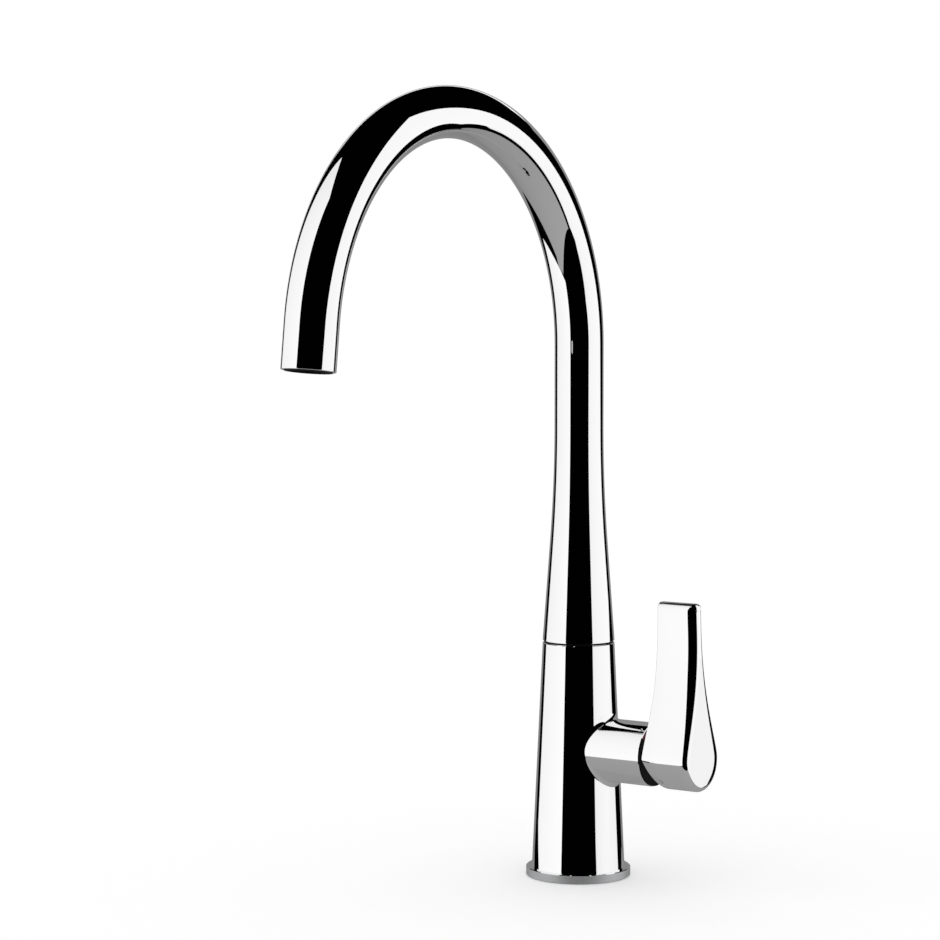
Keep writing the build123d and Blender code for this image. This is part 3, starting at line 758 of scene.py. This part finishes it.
def makeLever():
    bm = newPiece()
    ribs = [leverRib(*rib) for rib in leverRibs()]
    across, along = len(ribs[0]), len(ribs)
    bmesh.ops.create_grid(bm, x_segments=along - 1, y_segments=across - 1, size=1.0)
    for vert in bm.verts:
        i = round((vert.co.x + 1) / 2 * (along - 1))
        j = round((vert.co.y + 1) / 2 * (across - 1))
        vert.co = ribs[i][j]
    bmesh.ops.mirror(bm, geom=bm.verts[:] + bm.edges[:] + bm.faces[:], axis="Y", merge_dist=mergeDistance)
    return finishPiece(bm, "leverShell", "lever", chromeMaterial, ["lever"])


makeLever().visible_glossy = False  # the body's polish doesn't show the lever in the photograph

# Base ring: satin round its edge and polished on top, where it mirrors the foot of the body
baseRing = {
    "radius": 26.0,
    "height": 4.4,
    "edge": 0.3,
    "bore": 15.6,
    "sides": 192,
    "polishFrom": 0.6,  # how far a face's normal must point up for it to be polished
}


def makeBaseRing():
    bm = newPiece()
    b = baseRing
    spinHoop(bm, [(b["bore"], 0), (b["radius"] - b["edge"], 0), (b["radius"], b["edge"]),
                  (b["radius"], b["height"] - b["edge"]), (b["radius"] - b["edge"], b["height"]),
                  (b["bore"], b["height"])], b["sides"])
    ring = finishPiece(bm, "baseRingShell", "tap_body", nickelMaterial, ["base_ring"])
    ring.data.materials.append(chromeMaterial)
    for face in ring.data.polygons:
        if face.normal.z > b["polishFrom"]:
            face.material_index = 1
    ring.visible_glossy = False  # nor does the underside of the barrel show the ring there


makeBaseRing()

# Aerator collar: the lip of the aerator, just proud of the outlet's rim, near black with the painted shade of
# the opening
aeratorCollar = {
    "outer": 10.7,
    "inner": 8.9,
    "sunk": 1.0,
    "proud": 0.4,
    "edge": 0.25,
    "sides": 96,
}


def makeAeratorCollar():
    a = aeratorCollar
    bm = newPiece()
    low, high = -a["sunk"], a["proud"]
    spinHoop(bm, [(a["inner"], low), (a["outer"], low), (a["outer"], high - a["edge"]),
                  (a["outer"] - a["edge"], high), (a["inner"] + a["edge"], high),
                  (a["inner"], high - a["edge"])], a["sides"])
    flow = spoutOutflow()
    outlet = spoutBendPoint(radians(spout["bendDegrees"])) + flow * spout["outletLength"]
    turn = flow.to_track_quat("Z", "Y").to_matrix().to_4x4()
    bmesh.ops.transform(bm, matrix=Matrix.Translation(outlet) @ turn, verts=bm.verts)
    finishPiece(bm, "aeratorCollar", "spout", finishMaterials["darkAcetalOutletShade"])


makeAeratorCollar()


# Lever plug: a low dome over the lever's set screw, with a fine rim that stands just off the hub
leverPlug = {
    "at": (53.81, 64.1),
    "radius": 3.1,
    "root": 13.6,
    "rim": 15.85,
    "crown": 0.25,
    "edge": 0.2,
    "sides": 64,
    "domeSteps": 6,
    "sharp": 40,  # degrees past which an edge isn't smoothed
}


def makeLeverPlug():
    g = leverPlug
    bm = newPiece()
    rows = [(0, g["root"]), (g["radius"], g["root"]), (g["radius"], g["rim"] - g["edge"])]
    for i in range(g["domeSteps"] + 1):
        left = 1 - i / g["domeSteps"]
        rows.append(((g["radius"] - g["edge"]) * left, g["rim"] + g["crown"] * (1 - left ** 2)))
    line = chain(bm, [(r, y, 0) for r, y in rows], [(0, 0, 0)] * len(rows))
    spinTrue(bm, line, (0, 0, 0), (0, 1, 0), 2 * pi, g["sides"], True)
    bmesh.ops.translate(bm, vec=(g["at"][0], 0, g["at"][1]), verts=bm.verts)
    finishPiece(bm, "leverPlugCap", "lever", finishMaterials["silverPlastic"], ["lever_plug"],
                g["sharp"])


makeLeverPlug()


# Mounting stud: a rolled M8 thread all the way down, with a turned-off tip at each end
mountingStud = {
    "at": 10.4,
    "top": 13.5,
    "bottom": -69.5,
    "crest": 4.0,
    "root": 3.3,
    "pitch": 1.25,
    "tip": 1.0,
    "tipFall": 0.4,  # how much narrower than the root each end is
    "crestShare": 8,  # the flat crest and root are one part in this many of the pitch
    "spareTurns": 3,  # cut off at the two ends
    "merge": 0.001,  # mm
    "sides": 24,
}


def makeMountingStud():
    m = mountingStud
    bm = newPiece()
    low, high = m["bottom"] + m["tip"], m["top"] - m["tip"]
    turns = int((high - low) / m["pitch"]) + m["spareTurns"]
    start = low - m["pitch"] * m["spareTurns"] / 2
    flat = m["pitch"] / m["crestShare"]
    rows = [(m["root"], 0), (m["root"], flat), (m["crest"], m["pitch"] / 2),
            (m["crest"], m["pitch"] / 2 + flat), (m["root"], m["pitch"])]
    line = chain(bm, [(r, 0, start + z) for r, z in rows], [(0, 0, 0)] * len(rows))
    bmesh.ops.spin(bm, geom=line + ringVerts(line), cent=(0, 0, 0), axis=(0, 0, 1), angle=2 * pi * turns,
                   steps=m["sides"] * turns, dvec=(0, 0, m["pitch"] / m["sides"]), use_merge=False)
    bmesh.ops.remove_doubles(bm, verts=bm.verts, dist=m["merge"])
    for height, way in ((low, -1), (high, 1)):
        bmesh.ops.bisect_plane(bm, geom=bm.verts[:] + bm.edges[:] + bm.faces[:], plane_co=(0, 0, height),
                               plane_no=(0, 0, way), clear_outer=True)
        ring = [e for e in ringAt(bm, lambda co: abs(co.z - height) < onPlane) if len(e.link_faces) == 1]
        ring = pushRing(bm, ring)
        for vert in ringVerts(ring):
            reach = hypot(vert.co.x, vert.co.y)
            vert.co *= (m["root"] - m["tipFall"]) / reach
            vert.co.z = height + way * m["tip"]
        bmesh.ops.contextual_create(bm, geom=ring)
    bmesh.ops.translate(bm, vec=(m["at"], 0, 0), verts=bm.verts)
    stud = finishPiece(bm, "threadedStud", "tap_body", finishMaterials["zincPlate"],
                       ["mounting_stud"])
    stud.visible_glossy = False  # the worktop hides it from the polish above


makeMountingStud()

# Materials on the part's own nodes
slotMaterials = {
    "brass": finishMaterials["turnedBrass"],
    "steel": finishMaterials["drawnStainless"],
    "zinc_steel": finishMaterials["zincPlate"],
    "rubber": finishMaterials["nitrileRubber"],
    # the acetal rings' near-black is partly painted shade of the gap round them
    "acetal": finishMaterials["blackAcetalGapShade"],
    "cartridge_plastic": finishMaterials["filledNylon"],
    "ceramic": finishMaterials["lappedAlumina"],
    "tube_plastic": finishMaterials["extrudedPolyethylene"],
    # the outlet's near-black is partly painted shade of the opening
    "outlet_plastic": finishMaterials["darkAcetalOutletShade"],
    "red_plastic": finishMaterials["mouldedRed"],
    "blue_plastic": finishMaterials["mouldedBlue"],
    "plug_plastic": finishMaterials["silverPlastic"],
    "chrome": chromeMaterial,
    "satin_nickel": nickelMaterial,
}
for part in frame["record"]["subparts"]:
    finished = nodes[part["node"]].data.materials
    finished.clear()
    finished.append(slotMaterials[part["material_slot"]])

# The worktop hides these from the polish above too
for name in ("horseshoe_gasket", "horseshoe_plate", "stud_nut"):
    nodes[name].visible_glossy = False

# Camera, at the photograph's angle
camera = {
    "place": (731.476, -1166.599, 292.397),
    "right": (0.82580, 0.56397, -0.000675),
    "up": (-0.03633, 0.05439, 0.99786),
    "lens": 106.63,
    "sensor": 36,
    "farthest": 50,  # m
}
eye = bpy.data.objects.new("camera", bpy.data.cameras.new("camera"))
bpy.context.scene.collection.objects.link(eye)
right, up = Vector(camera["right"]).normalized(), Vector(camera["up"])
up = (up - right * up.dot(right)).normalized()
back = right.cross(up)
aim = Matrix((right, up, back)).transposed().to_4x4()
eye.matrix_world = Matrix.Translation(Vector(camera["place"]) * mm) @ aim
eye.data.lens = camera["lens"]
eye.data.sensor_width = camera["sensor"]
eye.data.clip_end = camera["farthest"]
bpy.context.scene.camera = eye
print("camera placed")

# Studio, in metres: the photograph's room, as the chrome shows it. Sizes along r run to the right of the
# view and along c towards the camera, both level. Each card has a corner, its two sides, and its glow at
# the corner, at the end of the first side and at the end of the second.
studio = {
    "right": (0.84723, 0.53123),
    "toCamera": (0.53123, -0.84723),
    "cards": {
        "leftSoftbox": ((-0.41, 0.457, -0.105), (-0.248, -0.947, 0.01), (-0.13, 0.203, 1.61),
                        (1.12, 1.0, 1.0)),
        "rightSoftbox": ((1.451, 1.459, -0.207), (0.234, -0.348, -0.437), (-1.316, -1.363, 0.76),
                         (0.93, 0.97, 1.05)),
        "lowRightCard": ((1.33, -0.67, -0.6), (-0.03, 1.42, 0), (0, 0, 0.7), (0.95, 1.02, 1.02)),
        "sideBoard": ((-0.406, 0.18, -0.106), (-0.2, 0.1, 0), (0, 0.13, 0), (0.37, 0.42, 0.37)),
        "greyBoard": ((-0.406, -0.552, -0.106), (0, 0.924, 0), (0.862, 0, 0), (0.27, 0.39, 0.27)),
        "greyBackdrop": ((-0.406, -0.552, -0.106), (0.806, 0, 0), (0, 0, 0.7), (0.24, 0.24, 0.3)),
    },
    "drapeSize": 8.0,
    "drapeOpening": 2.0,  # half width of the gap behind the tap, where the white room shows
    "drapeOpeningTop": 2.2,
    "drapeColour": "010101",
}


def studioPoint(r, c, z):
    a, b = studio["right"], studio["toCamera"]
    return Vector((r * a[0] + c * b[0], r * a[1] + c * b[1], z))


def reflectionOnly(card):  # lights the polish and nothing else, as a card held out of the picture
    card.visible_camera = card.visible_diffuse = card.visible_shadow = card.visible_transmission = False
    card.visible_volume_scatter = False


def stagePiece(name, bm, material):
    mesh = bpy.data.meshes.new(name)
    bm.to_mesh(mesh)
    bm.free()
    mesh.materials.append(material)
    piece = bpy.data.objects.new(name, mesh)
    bpy.context.scene.collection.objects.link(piece)
    return piece


def lightCard(name, corner, side, rise, glows):
    bm = bmesh.new()
    bmesh.ops.create_grid(bm, x_segments=1, y_segments=1, size=1.0)
    for vert in bm.verts:
        u, v = (vert.co.x + 1) / 2, (vert.co.y + 1) / 2
        vert.co = studioPoint(*[c + s * u + r * v for c, s, r in zip(corner, side, rise)])
    material, tree = newMaterial(name + "Light")
    place = addNode(tree, "ShaderNodeTexCoord").outputs["Object"]
    inside = addNode(tree, "ShaderNodeVectorMath", {0: place, 1: studioPoint(*corner)}, operation="SUBTRACT")
    first, second = studioPoint(*side), studioPoint(*rise)
    normal = first.cross(second)
    glow = glows[0]
    for edge, other, end in ((first, second, glows[1]), (second, first, glows[2])):
        square = other.cross(normal)
        share = addNode(tree, "ShaderNodeVectorMath", {0: inside.outputs[0], 1: square / square.dot(edge)},
                        operation="DOT_PRODUCT").outputs["Value"]
        glow = addNode(tree, "ShaderNodeMath", {0: share, 1: end - glows[0], 2: glow},
                       operation="MULTIPLY_ADD").outputs[0]
    shine = addNode(tree, "ShaderNodeEmission", {"Color": (1, 1, 1, 1), "Strength": glow})
    addNode(tree, "ShaderNodeOutputMaterial", {"Surface": shine.outputs[0]})
    reflectionOnly(stagePiece(name, bm, material))


for name, card in studio["cards"].items():
    lightCard(name, *card)


def makeDrape():  # black cloth round the room, open behind the tap
    bm = bmesh.new()
    bmesh.ops.create_cube(bm, size=studio["drapeSize"])
    half, top = studio["drapeOpening"], studio["drapeOpeningTop"]
    for place, across in (((-half, 0, 0), (1, 0, 0)), ((half, 0, 0), (1, 0, 0)), ((0, 0, top), (0, 0, 1))):
        bmesh.ops.bisect_plane(bm, geom=bm.verts[:] + bm.edges[:] + bm.faces[:], plane_co=place,
                               plane_no=across)
    doorway = [f for f in bm.faces if f.normal.y < -0.5 and abs(f.calc_center_median().x) < half
               and f.calc_center_median().z < top]
    bmesh.ops.delete(bm, geom=doorway, context="FACES")
    for vert in bm.verts:
        vert.co = studioPoint(*vert.co)
    material, tree = newMaterial("blackCloth")
    cloth = addNode(tree, "ShaderNodeBsdfDiffuse", {"Color": linearColour(studio["drapeColour"])})
    addNode(tree, "ShaderNodeOutputMaterial", {"Surface": cloth.outputs[0]})
    reflectionOnly(stagePiece("blackDrape", bm, material))


makeDrape()
print("studio cards and drape")


def whiteRays(tree):  # the rays that see the white room: the camera's, and those off metal and through glass
    path = addNode(tree, "ShaderNodeLightPath").outputs
    seen = addNode(tree, "ShaderNodeMath", {0: path["Is Camera Ray"], 1: path["Is Glossy Ray"]},
                   operation="MAXIMUM")
    return addNode(tree, "ShaderNodeMath", {0: seen.outputs[0], 1: path["Is Transmission Ray"]},
                   operation="MAXIMUM").outputs[0]


# Floor: pale matt card. Its own shade carries the tap's shadow, and a small glow, seen by the white
# rays alone, lifts the open floor to white.
floorCard = {
    "colour": "F4F4F4",
    "lift": 0.24,
    "size": 12.0,  # m, half its width
    "below": 0.2,  # mm under the ring's flat underside, so that the two don't share a plane
}
floorMaterial, tree = newMaterial("paleFloor")
shade = addNode(tree, "ShaderNodeBsdfDiffuse", {"Color": linearColour(floorCard["colour"])})
lift = addNode(tree, "ShaderNodeMath", {0: whiteRays(tree), 1: floorCard["lift"]}, operation="MULTIPLY")
glow = addNode(tree, "ShaderNodeEmission", {"Color": (1, 1, 1, 1), "Strength": lift.outputs[0]})
addNode(tree, "ShaderNodeOutputMaterial", {"Surface": addNode(tree, "ShaderNodeAddShader", {
    0: shade.outputs[0], 1: glow.outputs[0]}).outputs[0]})
bm = bmesh.new()
bmesh.ops.create_grid(bm, x_segments=1, y_segments=1, size=floorCard["size"])
bmesh.ops.translate(bm, vec=(0, 0, -floorCard["below"] * mm), verts=bm.verts)
floor = stagePiece("floor", bm, floorMaterial)
floor.visible_glossy = False  # the chrome has the grey board there, as in the photograph

worldLevel = (0.85, 1.0)  # what lights the tap, and what the white rays see
world = bpy.data.worlds.new("studioWorld")
bpy.context.scene.world = world
world.use_nodes = True
tree = world.node_tree
tree.nodes.clear()
level = addNode(tree, "ShaderNodeMapRange", {
    "Value": whiteRays(tree), "To Min": worldLevel[0], "To Max": worldLevel[1],
})
air = addNode(tree, "ShaderNodeBackground", {"Color": (1, 1, 1, 1), "Strength": level.outputs["Result"]})
addNode(tree, "ShaderNodeOutputWorld", {"Surface": air.outputs[0]})

bpy.context.scene.view_settings.view_transform = "Standard"
bpy.context.view_layer.update()
